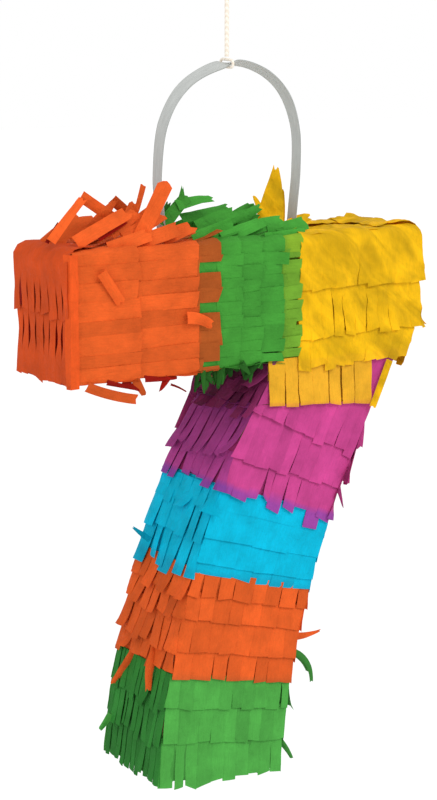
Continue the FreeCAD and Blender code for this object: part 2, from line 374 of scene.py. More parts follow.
class Sheets:
    """Collects thin closed sheets and makes one object of them."""

    def __init__(self):
        self.points, self.faces, self.paint, self.grain = [], [], [], []

    def add(self, grid, thickness, tone, through=None, origin=(0.0, 0.0), size=None):
        """grid[i][j] is (point, normal), i along the sheet and j across it. tone is how light it is,
        and through how much of the colour below shows, both along the sheet from 0 to 1."""
        rows, columns = len(grid), len(grid[0])
        base = len(self.points)
        length, width = size or (
            (grid[-1][0][0] - grid[0][0][0]).length, (grid[0][-1][0] - grid[0][0][0]).length)
        for side in (0.5, -0.5):
            for i, line in enumerate(grid):
                for j, (p, n) in enumerate(line):
                    self.points.append(p + n * (thickness * side))
                    t = i / (rows - 1)
                    self.paint.append((tone(t) if callable(tone) else tone,
                                       through(t) if through else 0.0, 0.0, 1.0))
                    self.grain.append((origin[0] + width * j / (columns - 1),
                                       origin[1] + length * t))
        other = rows * columns

        def at(i, j, under=0):
            return base + under * other + i * columns + j

        for i in range(rows - 1):
            for j in range(columns - 1):
                self.faces.append((at(i, j), at(i + 1, j), at(i + 1, j + 1), at(i, j + 1)))
                self.faces.append((at(i, j, 1), at(i, j + 1, 1), at(i + 1, j + 1, 1),
                                   at(i + 1, j, 1)))
        rim = ([(0, j) for j in range(columns)] + [(i, columns - 1) for i in range(1, rows)]
               + [(rows - 1, j) for j in range(columns - 2, -1, -1)]
               + [(i, 0) for i in range(rows - 2, 0, -1)])
        for (i, j), (k, m) in zip(rim, rim[1:] + rim[:1]):
            self.faces.append((at(i, j), at(k, m), at(k, m, 1), at(i, j, 1)))

    def piece(self, name, material, slot, body):
        mesh = bpy.data.meshes.new(name)
        mesh.from_pydata([p * MM for p in self.points], [], self.faces)
        paint = mesh.color_attributes.new("strip", "FLOAT_COLOR", "POINT")
        paint.data.foreach_set("color", [c for one in self.paint for c in one])
        layer = mesh.uv_layers.new(name="grain")
        layer.data.foreach_set(
            "uv", [c for loop in mesh.loops for c in self.grain[loop.vertex_index]])
        shell = bmesh.new()
        shell.from_mesh(mesh)
        bmesh.ops.recalc_face_normals(shell, faces=shell.faces)
        shell.to_mesh(mesh)
        shell.free()
        mesh.shade_smooth()
        mesh.set_sharp_from_angle(angle=math.radians(48))
        made = bpy.data.objects.new(name, mesh)
        SCENE.collection.objects.link(made)
        mesh.materials.append(material)
        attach(made, body)
        return made


def along_points(points, steps):
    """Points and headings on a smooth line through the given points."""
    points = [Vector(p) for p in points]
    ends = [points[0] * 2 - points[1]] + points + [points[-1] * 2 - points[-2]]
    made = []
    for k in range(steps + 1):
        place = k / steps * (len(points) - 1)
        i = min(int(place), len(points) - 2)
        t = place - i
        a, b, c, d = ends[i:i + 4]
        p = 0.5 * (2 * b + (c - a) * t + (2 * a - 5 * b + 4 * c - d) * t ** 2
                   + (3 * b - a - 3 * c + d) * t ** 3)
        way = 0.5 * ((c - a) + 2 * (2 * a - 5 * b + 4 * c - d) * t
                     + 3 * (3 * b - a - 3 * c + d) * t ** 2)
        made.append((p, way.normalized()))
    return made


# ---- strap -----------------------------------------------------------------------------------

STRAP_WIDTH = 10.0
STRAP_THICK = 0.7
STRAP_RISE = 116.0      # top of the arch over the card
STRAP_STEPS = 160
STRAP_COLUMNS = (-1, -0.9, -0.45, 0, 0.45, 0.9, 1)      # across the band, closer at its edges
STRAP_ARCH = [          # the middle of the band: across, and up from the top of the card
    (-51.4, -3.6), (-51.6, 0.0), (-53.2, 20.0), (-55.0, 44.0), (-50.0, 78.0), (-32.0, 103.0),
    (0.0, STRAP_RISE), (27.0, 111.5), (47.0, 96.0), (57.0, 72.0), (58.0, 44.0), (55.8, 20.0),
    (53.8, 0.0), (53.6, -3.6),
]
STRAP_ROLLS = [         # across, and the band's lean in degrees: the string pinches it at its top
    (-60.0, 0.0), (-50.0, 10.0), (-32.0, 20.0), (-7.0, 28.0), (7.0, -21.0), (25.0, -16.0),
    (47.0, -9.0), (60.0, 0.0),
]


def strap_roll(x):
    for (a, low), (b, high) in zip(STRAP_ROLLS, STRAP_ROLLS[1:]):
        if x <= b:
            t = max(0.0, (x - a) / (b - a))
            return math.radians(low + (high - low) * t * t * (3 - 2 * t))
    return 0.0


def add_strap():
    top = cad_box("front_panel")[1].z
    band = Sheets()
    grid = []
    for p, way in along_points([(x, 0, top + up) for x, up in STRAP_ARCH], STRAP_STEPS):
        up = max(0.0, (p.z - top) / STRAP_RISE)
        roll = strap_roll(p.x) * min(1.0, 1.5 * up)
        across = Matrix.Rotation(roll, 3, way) @ Vector((0, 1, 0))
        normal = across.cross(way).normalized()
        half = STRAP_WIDTH / 2
        grid.append([(p + across * (half * j), normal) for j in STRAP_COLUMNS])
    band.add(grid, STRAP_THICK, 1.0, size=(330.0, STRAP_WIDTH))
    made = band.piece("ribbed_strap", strap_material(), "strap_plastic", "strap")
    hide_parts("hanging_strap")


add_strap()


# ---- paper rows ------------------------------------------------------------------------------

LOW, HIGH = cad_box("front_panel", "back_panel")
FRONT, BACK = LOW.y, HIGH.y
LEFT, RIGHT, TOP, BOTTOM = LOW.x, HIGH.x, HIGH.z, LOW.z
UNDER = cad_box("arm_under_wall")[0].z          # underside of the bar
TURN = 3.0              # paper that goes round each edge of the card
PAPER = 0.22            # thickness of a strip
PUFF = 1.6              # how far the paper of the bar and its ends stands off the card


class Wrap:
    """A band of card that a row of paper is wrapped round. corners(v) gives its edges in order,
    where v is 0 at the row's glued edge and 1 where the next row starts."""

    def __init__(self, corners, closed):
        self.corners, self.closed = corners, closed
        middle = corners(0.5)
        self.length = sum(
            (b - a).length for a, b in zip(corners(0.0), corners(1.0))) / len(middle)
        self.sides = [(b - a).length for a, b in zip(middle, middle[1:])]
        self.starts, place = [], 0.0
        for n in self.sides:
            self.starts.append(place)
            place += n + TURN
        self.total = place if closed else place - TURN

    def side(self, k):
        """Where side k starts and ends along the wrap."""
        return self.starts[k], self.starts[k] + self.sides[k]

    def normal(self, k, v):
        a, b = self.corners(v)[k:k + 2]
        c, d = self.corners(v + 0.05)[k:k + 2]
        return ((c - a) + (d - b)).cross(b - a).normalized()

    def point(self, s, v, height):
        """The point at s along the wrap and v down the row, height outside the card, and the way
        out there."""
        if self.closed:
            s %= self.total
        k = max(i for i, start in enumerate(self.starts) if s >= start or i == 0)
        corners = self.corners(v)
        rest = s - self.starts[k]
        if rest <= self.sides[k] or (k == len(self.sides) - 1 and not self.closed):
            place = corners[k].lerp(corners[k + 1], rest / self.sides[k])
            out = self.normal(k, v)
        else:
            turn = (rest - self.sides[k]) / TURN
            place = corners[k + 1]
            out = self.normal(k, v).lerp(self.normal((k + 1) % len(self.sides), v), turn)
            out.normalize()
        return place + out * height, out


def shares(start, end, low, high, rng):
    """Cuts the stretch from start to end into uneven strips between low and high wide."""
    count = max(1, round((end - start) / ((low + high) / 2)))
    widths = [rng.uniform(low, high) for _ in range(count)]
    scale = (end - start) / sum(widths)
    edges = [start]
    for w in widths:
        edges.append(edges[-1] + w * scale)
    return list(zip(edges, edges[1:]))


class Look:
    """How a side's strips are cut and how they lie, in millimetres where it is a length."""

    def __init__(self, width=(7.0, 10.0), over=(2.0, 3.4), lift=(2.0, 2.6), curl=0.0, lean=0.4,
                 gap=(-0.5, 0.3), loose=0.0, whole=0.0, mess=0.0, tone=(0.58, 0.76), crown=0.25,
                 cut=0.4, short=0.0, slits=None, under=None, drift=(0.0, 0.0), shade_and_below=0.0, tint=0.0):
        self.width = width      # of a strip
        self.over = over        # how far it reaches over the next row
        self.lift = lift        # height of its tip off the card
        self.curl = curl        # how much more an odd tip may stand off
        self.lean = lean        # sideways drift of the tips
        self.gap = gap          # room left beside a strip's tip, below 0 where strips overlap
        self.loose = loose      # share of the strips with an open cut beside them
        self.whole = whole      # uncut share of the row's length
        self.mess = mess        # share of the strips that stick up
        self.tone = tone        # how light a strip is, 0 to 1
        self.crown = crown      # how far its middle bows out
        self.cut = cut          # slant of its cut tip
        self.short = short      # share of the strips that are torn short
        self.slits = slits      # a slit beside it: how wide, and where it starts and ends, 0 to 1
        self.under = under      # a second layer below, as a Look
        self.drift = drift      # even sideways shift of its two edges by the tip
        # on the left end and the stem's left sides this paints shade: the colour mixed in there is a
        # painted shade colour
        self.shade_and_below = shade_and_below      # how much of the colour below shows all over
        self.tint = tint        # length of tip that shows it, where that isn't just the overlap


def puffed(p, amount, crease=0.0):
    """How far the loosely wrapped paper stands off the card at a place."""
    height = amount * (0.55 + 0.9 * noise.noise(p / 24.0) + 0.35 * noise.noise(p / 9.0))
    if crease:
        # folds that run down to the right, sharp along their tops
        q = Vector(((p.x + p.y + p.z) / 14.0, p.y / 22.0, (p.x - p.z) / 38.0))
        height += crease * (0.45 - abs(noise.noise(q)) * 1.7 - abs(noise.noise(q * 2.1)) * 0.35)
    return height


def strip(sheets, wrap, start, end, look, rng, through=0.0, base=0.6, begin=0.0, puff=1.0,
          crease=0.0, less=0.0):
    """One strip of the fringe, from its glued edge down over the next row."""
    row = wrap.length * (1 - begin)
    length = row + rng.uniform(*look.over) - less
    if rng.random() < look.short:
        length *= rng.uniform(0.72, 0.92)
    even = sum(look.lift) / 2, sum(look.tone) / 2
    lift = rng.uniform(*look.lift)
    messy = rng.random() < look.mess
    curl = look.curl * rng.random() ** 2 + (rng.uniform(2, 6) if messy else 0.0)
    lean = rng.gauss(0, look.lean * (2 if messy else 1))
    slant = rng.gauss(0, look.cut)
    tilt = 0.18 + rng.gauss(0, 0.12)
    crown = look.crown * rng.uniform(0.2, 1.3)
    gap = rng.uniform(*look.gap)
    if rng.random() < look.loose:
        gap = rng.uniform(0.5, 1.4)
    tone = rng.uniform(*look.tone)
    open_slit = rng.uniform(0.3, 1.2)
    wave, phase = rng.uniform(0.05, 0.35), rng.uniform(0, math.tau)
    steps = max(5, round(row / (1.6 if crease else 3.2)))
    across = 2 if end - start < 14 else max(4, round((end - start) / 2.5))
    if crease:
        across = max(4, round((end - start) / 1.8))
    spare = 0.02 if look.whole else 0.3     # overlap with the strips beside it

    def freed(t):
        """How far past the uncut part a place is, and how free of its neighbours that makes it."""
        past = max(0.0, (t - look.whole) / (1.001 - look.whole))
        return past, min(1.0, 3 * past) if look.whole else 1.0

    grid = []
    for i in range(steps + 1):
        t = i / steps
        past, free = freed(t)
        down = length * t
        if look.whole:
            down = row * t + (length - row) * max(0.0, 2 * t - 1)
        rise = even[0] + (lift - even[0]) * free - base
        line = []
        for j in range(across + 1):
            x = 2 * j / across - 1
            half = (end - start) / 2 + spare - (gap + spare) * min(1.0, 3 * past)
            if look.slits and look.slits[1] < t < look.slits[2]:
                t0, t1 = look.slits[1:]
                half -= look.slits[0] * open_slit * math.sin(math.pi * (t - t0) / (t1 - t0)) ** 2
            s = (start + end) / 2 + half * x + lean * past ** 2
            s += (look.drift[0] * (1 - x) + look.drift[1] * (1 + x)) / 2 * t
            v = begin + (down + slant * x * t ** 4) / wrap.length
            height = (base + rise * t ** 1.25 + crown * (1 - x * x) * past ** 0.5
                      + tilt * x * free + curl * past ** 4
                      + wave * t * math.sin(phase + 5 * t) * free)
            place = wrap.point(s, v, 0.0)[0]
            line.append(wrap.point(s, v, max(0.35, height + puffed(place, puff, crease))))
        grid.append(line)
    reach = row / length

    def tones(t):
        own = even[1] + (tone - even[1]) * freed(t)[1]
        return own * (1 - 0.05 * min(1.0, max(0.0, (t - reach) * 20)))

    def shows(t):
        part = (t - reach + 0.04) / 0.05
        if look.tint:
            part = 0.5 + (look.tint - length * (1 - t)) / 2
        return min(1.0, look.shade_and_below + through * min(1.0, max(0.0, part)))

    sheets.add(grid, PAPER, tones, shows, (start + rng.uniform(0, 90), rng.uniform(0, 90)),
               (length, end - start))


def backing(sheets, wrap, start, end, tone=0.46, low=0.0, high=1.0, shade_and_below=0.0):
    """The uncut glued paper behind the strips, painted darker for the shade in the gaps between
    them.
    """
    across = max(2, round((end - start) / 6))
    extra = [s + d for s in wrap.starts[1:] for d in (0.0, -TURN, -TURN / 2)]
    places = sorted({start, end, *(start + (end - start) * j / across for j in range(across + 1)),
                     *(p for p in extra if start < p < end)})
    grid = [[wrap.point(s, low + (high - low) * i / 3, 0.25) for s in places] for i in range(4)]
    sheets.add(grid, 0.2, tone, lambda t: shade_and_below, size=(wrap.length, end - start))


def underlay(sheets, wrap, start, end, low, high, tone, puff):
    """Paper of the next row that goes on under this one and shows where a strip is missing."""
    across, down = round((end - start) / 3), max(2, round(wrap.length * (high - low) / 3))
    grid = []
    for i in range(down + 1):
        line = []
        for j in range(across + 1):
            s, v = start + (end - start) * j / across, low + (high - low) * i / down
            place = wrap.point(s, v, 0.0)[0]
            line.append(wrap.point(s, v, max(0.5, 0.55 + puffed(place, puff))))
        grid.append(line)
    sheets.add(grid, 0.15, tone, size=(wrap.length, end - start))


def shoulder(sheets, wrap, k, low, high, look, rng, **how):
    """One strip that goes round the edge where side k ends, from low before it to high past it."""
    start, end = wrap.side(k)[1] - low, wrap.side(k)[1] + TURN + high
    backing(sheets, wrap, start, end, shade_and_below=how["through"])
    strip(sheets, wrap, start, end, look, rng, **how)


def cut_side(sheets, wrap, k, look, rng, spans=None, clear=None, bites=(), **how):
    """The strips of one side of a wrap. clear is a test for the places that stay free of them, and
    bites are stretches whose strips are short: start, end and how much."""
    low, high = wrap.side(k)
    if k > 0 or wrap.closed:
        low -= TURN / 2
    if k < len(wrap.sides) - 1 or wrap.closed:
        high += TURN / 2
    stretches = [(low, high)]
    if spans:
        stretches = [(max(low, a), min(high, b)) for a, b in spans]
    for a, b in stretches:
        if b - a < 2:
            continue
        marks = sorted({a, b, *(m for bite in bites for m in bite[:2] if a < m < b)})
        for p, q in zip(marks, marks[1:]):
            less = sum(bite[2] for bite in bites if bite[0] < (p + q) / 2 < bite[1])
            for start, end in shares(p, q, *look.width, rng):
                if clear and clear(wrap.point((start + end) / 2, 0.5, 0.0)[0]):
                    continue
                if look.under:
                    strip(sheets, wrap, start, end, look.under, rng, **{**how, "base": 0.4})
                strip(sheets, wrap, start, end, look, rng, **{"less": less, **how})


def fringe(node, wrap, looks, material, slot, spans=None, body="shell", more=None, clear=None,
           shade_and_below=0.0, **how):
    """A whole row: looks has one entry for each side of the wrap, spans are the stretches that have
    paper, and the setting after clear is how much of the colour below shows in the glued paper
    behind the strips."""
    rng = random.Random(node)
    sheets = Sheets()
    for start, end in spans or [(0.0, wrap.total)]:
        backing(sheets, wrap, start, end, shade_and_below=shade_and_below)
    for k, look in enumerate(looks):
        if look:
            cut_side(sheets, wrap, k, look, rng, spans, clear, **how)
    if more:
        more(sheets, rng)
    made = sheets.piece(node + "_paper", material, slot, body)
    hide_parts(node)
    return made


# ---- rows along the bar ----------------------------------------------------------------------

FLAP_LOW, FLAP_HIGH = cad_box("fill_flap")
STRAP_FOOT = -51.4


def bar_wrap(x0, x1, closed=True):
    def corners(v):
        x = x0 + (x1 - x0) * v
        ring = [Vector(p) for p in ((x, FRONT, UNDER), (x, FRONT, TOP), (x, BACK, TOP),
                                    (x, BACK, UNDER))]
        return ring + ring[:1] if closed else ring
    return Wrap(corners, closed)


def bar_rows():
    over_green = linear(168, 88, 34)
    over_yellow = linear(150, 186, 44)
    orange = paper("orange_crepe", ORANGE, over_green)
    green = paper("green_crepe", GREEN, over_yellow)
    names = [f"orange_arm_row_{n}" for n in (1, 2, 3)]
    names += [f"green_arm_row_{n}" for n in (1, 2, 3, 4)]
    # missing strips of each colour's last column: along the front from the underside, and how much
    missing = {
        "orange_arm_row_3": [(0.5, 6.0, 15.0), (36.0, 45.0, 16.0), (62.5, 71.5, 18.0)],
        "green_arm_row_4": [(66.5, 70.0, 13.0), (22.0, 26.0, 6.0)],
    }
    before = None
    for name in names:
        low, high = cad_box(name)
        x0 = max(low.x, LEFT + 0.5)
        is_orange = name.startswith("orange")
        last = name in missing
        wrap = bar_wrap(x0, high.x, closed=name != "green_arm_row_4")
        width = (8.0, 13.0) if is_orange else (6.5, 10.0)
        tone = (0.56, 0.78) if is_orange else (0.55, 0.76)
        over = (0.0, 3.0) if last else (1.5, 4.5)
        tint = high.x - x0 - 1.0 if last else 0.0
        front = Look(width=width, over=over, tone=tone, mess=0.02, loose=0.03, cut=0.6,
                     gap=(-1.4, -0.8) if last else (-0.6, 0.0), tint=tint)
        top = Look(width=(6.0, 10.0), over=(4.0, 12.0), lift=(2.4, 6.0), tone=tone, curl=4.0,
                   lean=2.6, mess=0.25, gap=(0.0, 1.2), tint=tint)
        # painted shade: the strips on the underside of the bar are darker
        under = Look(width=(7.0, 11.0), over=(2.0, 7.0), lift=(2.0, 4.0), tone=(0.4, 0.56),
                     mess=0.08, lean=1.5)
        back = Look(**vars(front))
        looks = [front, top, back, under] if wrap.closed else [front, top, back]
        # the paper goes round the long top edges in one piece
        start = wrap.side(2)[0]
        spans = [(-TURN / 2, wrap.side(0)[1] - 7), (wrap.side(1)[0] + 8, wrap.side(1)[1] - 8),
                 (start + 7, wrap.total)]
        if low.x < FLAP_HIGH.x - 1 and high.x > FLAP_LOW.x + 1:
            # the body's paper stops round the flap, which carries its own
            above, below = TOP - FLAP_HIGH.z - 1.2, TOP - FLAP_LOW.z + 1.2
            spans[2:] = [(start + 7, start + above), (start + below, wrap.total)]
        elif name == "orange_arm_row_3":
            # short of the flap, whose paper folds back against this row
            back.over = (-1.8, -1.2)
        by_strap = low.x < STRAP_FOOT < high.x

        def more(sheets, rng, before=before, wrap=wrap, front=front, through=0.8 if last else 0.0):
            round_edge = Look(**{**vars(front), "mess": 0.0, "lift": (2.2, 2.8), "crown": 0.0})
            for k, ahead, past in ((0, 7, 8), (1, 8, 7)):
                shoulder(sheets, wrap, k, ahead, past, round_edge, rng, puff=PUFF, through=through)
            if before:
                underlay(sheets, before, 1.0, before.side(0)[1] + 3, 0.1, 1.0, 0.6, PUFF)

        fringe(name, wrap, looks, orange if is_orange else green,
               "orange_paper" if is_orange else "green_paper", spans=spans, more=more,
               through=(0.8 if is_orange else 0.5) if last else 0.0, shade_and_below=0.7 if last else 0.0,
               puff=PUFF, bites=missing.get(name, ()),
               clear=(lambda p: p.z > TOP - 1 and abs(p.y) < 9) if by_strap else None)
        before = wrap if name == "orange_arm_row_3" else None


bar_rows()


def flap_rows():
    green = bpy.data.materials["green_crepe"]
    for n in (1, 2, 3):
        name = f"flap_fringe_row_{n}"
        low, high = cad_box(name)

        def corners(v, low=low, high=high):
            x = low.x + (high.x - low.x) * v
            return [Vector((x, BACK, high.z)), Vector((x, BACK, low.z))]

        look = Look(width=(6.0, 9.0), over=(1.0, 3.0) if n == 3 else (1.5, 4.0), tone=(0.55, 0.77),
                    loose=0.1, cut=0.6)
        fringe(name, Wrap(corners, False), [look], green, "green_paper", body="flap",
               base=0.4 if n == 1 else 0.6, puff=0.3 if n == 1 else 0.8)


flap_rows()


# ---- rows on the left end --------------------------------------------------------------------

def rolled(start, end, out, z0, z1, radius):
    """A wrap of one side, from start to end in plan, whose paper comes over the top edge in a roll
    and draws in past it."""
    out = Vector((*out, 0))
    start, end = Vector((*start, 0)), Vector((*end, 0))
    along = (end - start).normalized()

    def corners(v):
        z, back = z0 + (z1 - z0) * v, 0.0
        if radius and z > TOP - radius:
            past = z - (TOP - radius)
            angle = min(past / radius, math.pi / 2)
            back = radius * (1 - math.cos(angle)) + max(0.0, past - radius * math.pi / 2)
            z = TOP - radius + radius * math.sin(angle)
        shift = Vector((0, 0, z)) - out * back
        inset = along * min(8.0, 0.6 * back)
        return [start + inset + shift, end - inset + shift]

    return Wrap(corners, False)


def end_rows():
    # the deep red is painted shade, for the slits and hollows under the strips of the left end
    orange = paper("orange_end_crepe", linear(226, 88, 32), linear(176, 24, 10))
    for n in (1, 2):
        name = f"orange_end_row_{n}"
        low, high = cad_box(name)
        wrap = rolled((LEFT, BACK + 1.5), (LEFT, FRONT - 1.5), (-1, 0), min(high.z, TOP), low.z,
                      6.0 if n == 1 else 0.0)
        # painted shade: a little of the deep red shows all over the end's strips
        look = Look(width=(6.5, 10.5), lift=(2.6, 3.0), tone=(0.6, 0.72), lean=0.4, cut=0.8,
                    shade_and_below=0.15)
        if n == 1:
            look.over, look.whole, look.slits = (1.0, 4.0), 0.62, (0.8, 0.64, 1.0)
        else:
            look.over, look.whole, look.slits = (-2.0, 0.0), 1.0, (2.6, 0.0, 0.7)
        sheets, rng = Sheets(), random.Random(name)
        # painted shade: the glued paper behind the slits is all deep red
        backing(sheets, wrap, 0.0, wrap.total, tone=0.8, low=0.16 if n == 1 else 0.0, shade_and_below=1.0)
        for start, end in shares(0.0, wrap.total, *look.width, rng):
            strip(sheets, wrap, start, end, look, rng, base=3.2 if n == 1 else 0.9,
                  begin=-0.5 if n == 1 else 0.0, puff=PUFF)
        made = sheets.piece(name + "_paper", orange, "orange_paper", "shell")
        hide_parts(name)

    # a long strip folded down the front upright edge of the end
    def fold(v):
        z = TOP + 1 + (UNDER - TOP - 3) * v
        return [Vector((x, y, z)) for x, y in ((LEFT, FRONT + 3), (LEFT, FRONT), (LEFT + 3, FRONT))]

    sheets, wrap = Sheets(), Wrap(fold, False)
    look = Look(over=(0.0, 1.0), lift=(3.0, 3.2), lean=0.8, tone=(0.78, 0.82), crown=0.6)
    rng = random.Random("edge strip")
    strip(sheets, wrap, 1.0, wrap.total - 0.5, look, rng, base=3.0, puff=PUFF)
    sheets.piece("orange_edge_strip", orange, "orange_paper", "shell")


end_rows()


# ---- rows down the right end -----------------------------------------------------------------

def drop_wrap(upper, lower, closed):
    """upper and lower are the left and right ends, (x, z), of a row's edges on the front."""
    def corners(v):
        left, right = [Vector(a).lerp(Vector(b), v) for a, b in zip(upper, lower)]
        ring = [Vector((left.x, FRONT, left.y)), Vector((right.x, FRONT, right.y)),
                Vector((right.x, BACK, right.y)), Vector((left.x, BACK, left.y))]
        return ring + ring[:1] if closed else ring
    return Wrap(corners, closed)


YELLOW_BULGE = 9.0      # how far the loose paper stands off the right end
BULGE_LOW = 66.0        # how far down it stands off most
FLARE = 28.0            # how far from that end the strips of the front lean out with it
YELLOW_CREASE = 2.2     # depth of the folds in its crumpled paper


def yellow_right(z, row):
    down = TOP - z
    if row < 3:
        return RIGHT + YELLOW_BULGE * math.sin(min(1.0, down / BULGE_LOW) * math.pi / 2)
    return RIGHT + 3.0 - 7.0 * (down - BULGE_LOW) / 17


def yellow_rows():
    yellow = paper("yellow_crepe", YELLOW, linear(228, 148, 50), crumpled=1.0)
    left = cad_box("yellow_corner_row_1")[0].x
    edges = [TOP] + [cad_box(f"yellow_corner_row_{n}")[0].z for n in (1, 2, 3)]
    front = Look(width=(8.0, 12.0), over=(1.5, 4.0), lift=(2.2, 3.0), tone=(0.6, 0.78), loose=0.06,
                 lean=0.5, cut=0.6)
    end = Look(width=(6.5, 10.0), over=(3.0, 8.0), lift=(2.2, 4.0), tone=(0.55, 0.7), mess=0.1,
               lean=1.2, gap=(-0.3, 0.8))
    for n in (1, 2, 3):
        name = f"yellow_corner_row_{n}"
        z0, z1 = edges[n - 1], edges[n]
        near, far = yellow_right(z0, n), yellow_right(z1, n)
        if n == 3:
            front.over, end.over = (5.0, 9.0), (9.0, 14.0)
        if n == 1:
            yellow_first_row(name, yellow, front, end, left, z1)
            continue
        wrap = drop_wrap([(left, z0), (near, z0)], [(left, z1), (far, z1)], False)
        fringe(name, wrap, [front, end, front], yellow, "yellow_paper", puff=PUFF,
               crease=YELLOW_CREASE, through=0.12 if n == 3 else 0.0)


def yellow_first_row(name, material, front, end, left, low):
    """The row that comes over the top edges and is cut only below its middle."""
    sheets, rng = Sheets(), random.Random(name)
    yellow_top(sheets)
    for look, ends, out in ((front, ((left, FRONT), (RIGHT + 1, FRONT)), (0, -1)),
                            (end, ((RIGHT, FRONT - 1.5), (RIGHT, BACK + 1.5)), (1, 0)),
                            (front, ((RIGHT + 1, BACK), (left, BACK)), (0, 1))):
        wrap = rolled(*ends, out, TOP, low, 4.0)
        backing(sheets, wrap, 0.0, wrap.total, low=0.3)
        first = Look(**{**vars(look), "whole": 0.62, "lift": (2.4, 3.0)})
        if look is end:
            first.lift = (YELLOW_BULGE - 1, YELLOW_BULGE + 1)
        corner = wrap.total if out[1] < 0 else 0.0
        for start, stop in shares(0.0, wrap.total, *first.width, rng):
            if look is front:
                # the strips next to the right end go out with it
                near = [max(0.0, 1 - abs(s - corner) / FLARE) for s in (start, stop)]
                first.drift = [YELLOW_BULGE * 1.05 * -out[1] * n for n in near]
            strip(sheets, wrap, start, stop, first, rng, base=3.4 if look is end else 2.6,
                  begin=-0.75, puff=PUFF, crease=YELLOW_CREASE)
    made = sheets.piece(name + "_paper", material, "yellow_paper", "shell")
    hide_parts(name)


def yellow_top(sheets):
    """Uncut crumpled paper on top, whose edges the first row covers."""
    left = cad_box("yellow_corner_row_1")[0].x - 2
    across, back = 30, 22
    grid = []
    for j in range(back + 1):
        y = FRONT + 0.5 + (BACK - FRONT - 1.0) * j / back
        line = []
        for i in range(across + 1):
            x = left + (RIGHT - 1 - left) * i / across
            p = Vector((x, y, TOP + 1.6))
            rise = 2.0 * noise.noise(p / 15.0) + 0.9 * noise.noise(p / 6.0)
            line.append((p + Vector((0, 0, max(-1.2, rise))), Vector((0, 0, 1))))
        grid.append(line)
    sheets.add(grid, PAPER, 0.76, size=(BACK - FRONT, RIGHT - left))


# The stem's edges and the slant of its rows, from the card's design
NECK = LEFT + 160.0     # where the left side leaves the bar's underside
STEM_LEFT = LEFT + 60.5
STEM_RIGHT = LEFT + 161.0
FOOT_Z = TOP - 365.0    # the foot slants from here down to the card's lowest corner
END_Z = TOP - 67.0
LEFT_BOW = 20.0
RIGHT_BOW = 22.0
ROW_DEPTHS = {          # lower edges on the middle of the stem
    "magenta": [132.0, 159.0, 180.0],
    "blue": [196.0, 212.0, 233.0],
    "orange_stem": [247.0, 262.0, 283.0, 301.0],
    "green_foot": [320.0, 344.0, 365.0],
}
TOP_SLANT = 22.0        # degrees that the first and last rows fall to the right
FOOT_SLANT = 12.0


def bowed(start, end, bow, t):
    chord = Vector(end) - Vector(start)
    out = Vector((chord.y, -chord.x)).normalized() * bow
    return Vector(start) + chord * t + out * (4 * t * (1 - t))


def stem_left(t):
    return bowed((NECK, UNDER), (STEM_LEFT, FOOT_Z), LEFT_BOW, t)


def stem_right(t):
    return bowed((RIGHT, END_Z), (STEM_RIGHT, BOTTOM), RIGHT_BOW, t)


def where(edge, test):
    """The point of an edge where test changes sign."""
    low, high = -0.2, 1.2
    for _ in range(40):
        mid = (low + high) / 2
        if test(edge(mid)) > 0:
            low = mid
        else:
            high = mid
    return edge((low + high) / 2)


def right_edge(z):
    return RIGHT if z >= END_Z else where(stem_right, lambda p: p.y - z).x


def stem_row_ends(depth):
    """The ends of a row's lower edge, which is square to the stem, or level at the foot."""
    if depth >= TOP - FOOT_Z:
        return [(STEM_LEFT, FOOT_Z), (STEM_RIGHT, BOTTOM)]
    first, last = ROW_DEPTHS["magenta"][0], ROW_DEPTHS["green_foot"][-2]
    slant = TOP_SLANT + (FOOT_SLANT - TOP_SLANT) * (depth - first) / (last - first)
    top = (TOP - UNDER + TOP - END_Z) / 2
    part = (depth - top) / (TOP - FOOT_Z - top)
    start, end = (NECK + RIGHT) / 2, (STEM_LEFT + STEM_RIGHT) / 2
    middle = start + (end - start) * part - 4 * LEFT_BOW * part * (1 - part)
    fall = math.tan(math.radians(slant))

    def above(p):
        return p.y - (TOP - depth - (p.x - middle) * fall)

    return [tuple(where(edge, above)) for edge in (stem_left, stem_right)]


yellow_rows()


COLLAR_START = LEFT + 150.0
COLLAR_LOW = (TOP - 111.0, TOP - 119.0)     # its lower edge, at the left and at the right


def collar_row():
    """Wide strips that hang straight down over the top of the stem, on all sides but the left."""
    name = "yellow_collar_row"
    low_left, low_right = COLLAR_LOW
    top_x, low_x = right_edge(UNDER), right_edge(low_right)
    front = Look(width=(11.0, 15.0), over=(0.5, 2.5), lift=(2.4, 3.2), tone=(0.6, 0.72), loose=0.3)
    side = Look(width=(8.0, 12.0), over=(2.0, 7.0), lift=(2.5, 5.0), tone=(0.52, 0.66), mess=0.1)
    material = paper("yellow_collar_crepe", linear(240, 180, 44), linear(224, 140, 62))
    sheets, rng = Sheets(), random.Random(name)
    start = COLLAR_START
    hung = low_x - 3.0          # the last strip of the front hangs clear of the slanting edge
    walls = [
        (front, [(start, FRONT, UNDER), (hung, FRONT, UNDER)],
         [(start, FRONT, low_left), (hung, FRONT, low_right)]),
        (side, [(top_x, FRONT, UNDER), (top_x, BACK, UNDER)],
         [(low_x, FRONT, low_right), (low_x, BACK, low_right)]),
        (front, [(top_x, BACK, UNDER), (start, BACK, UNDER)],
         [(low_x, BACK, low_right), (start, BACK, low_left)]),
    ]
    for look, upper, lower in walls:
        def corners(v, upper=upper, lower=lower):
            return [Vector(a).lerp(Vector(b), v) for a, b in zip(upper, lower)]
        wrap = Wrap(corners, False)
        backing(sheets, wrap, 0.0, wrap.total)
        cut_side(sheets, wrap, 0, look, rng, through=0.55, puff=1.2, crease=0.7)
    made = sheets.piece(name + "_paper", material, "yellow_paper", "shell")
    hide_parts(name)


